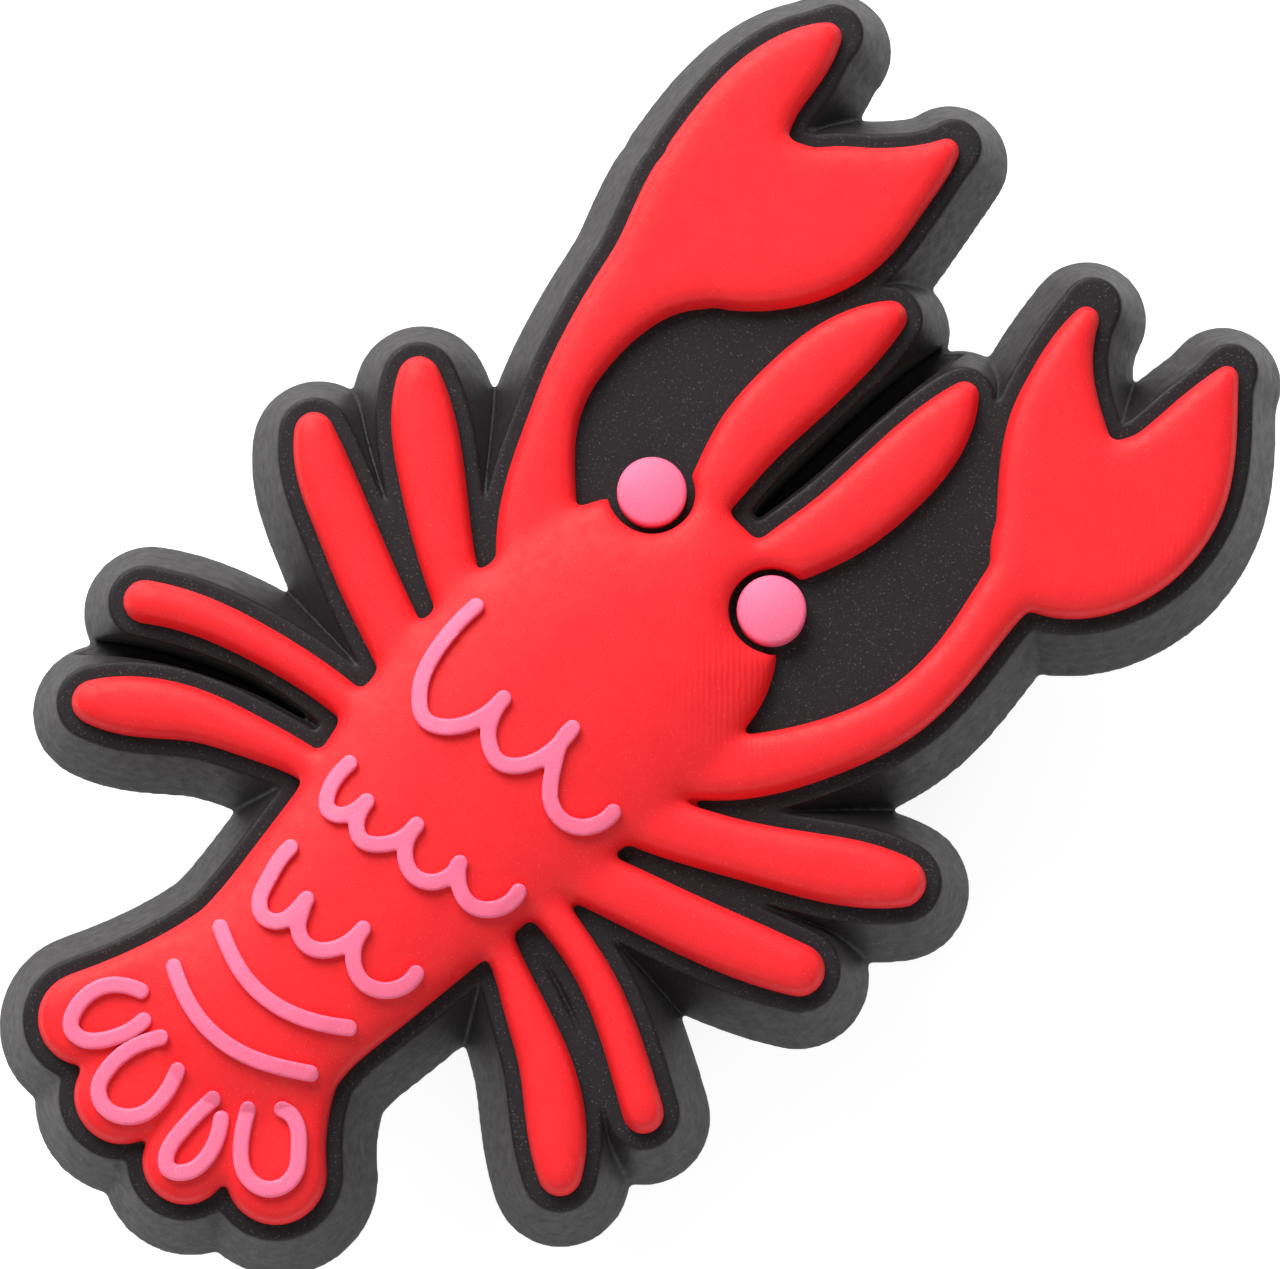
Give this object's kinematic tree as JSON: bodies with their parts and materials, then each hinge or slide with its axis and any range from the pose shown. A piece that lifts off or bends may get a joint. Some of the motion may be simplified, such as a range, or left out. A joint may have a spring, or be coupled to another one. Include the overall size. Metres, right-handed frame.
{
  "type": "lobster shoe charm",
  "caption": "Flat lobster-shaped charm of moulded soft rubber with raised layers, and a round stud on the back that snaps into a hole in a shoe or strap.",
  "frame": {"origin": "on the stud's axis, in the plane of the base plate's flat back", "axes": "+Z out of the display side, +Y from the tail towards the claws, +X to the viewer's right with the claws up"},
  "size_m": [0.0281, 0.0467, 0.0113],
  "materials": {
    "black_rubber": "matte moulded soft rubber",
    "red_rubber": "matte moulded soft rubber",
    "pink_rubber": "matte moulded soft rubber",
    "stud_rubber": "smooth soft rubber"
  },
  "bodies": {
    "root": {"base_plate": "black_rubber", "lobster_relief": "red_rubber", "eye_left": "pink_rubber", "eye_right": "pink_rubber", "shoulder_scallop": "pink_rubber", "waist_scallop": "pink_rubber", "tail_scallop": "pink_rubber", "tail_band_upper": "pink_rubber", "tail_band_lower": "pink_rubber", "fan_loop_1": "pink_rubber", "fan_loop_2": "pink_rubber", "fan_loop_3": "pink_rubber", "fan_loop_4": "pink_rubber", "snap_stud": "stud_rubber"}
  },
  "joints": []
}
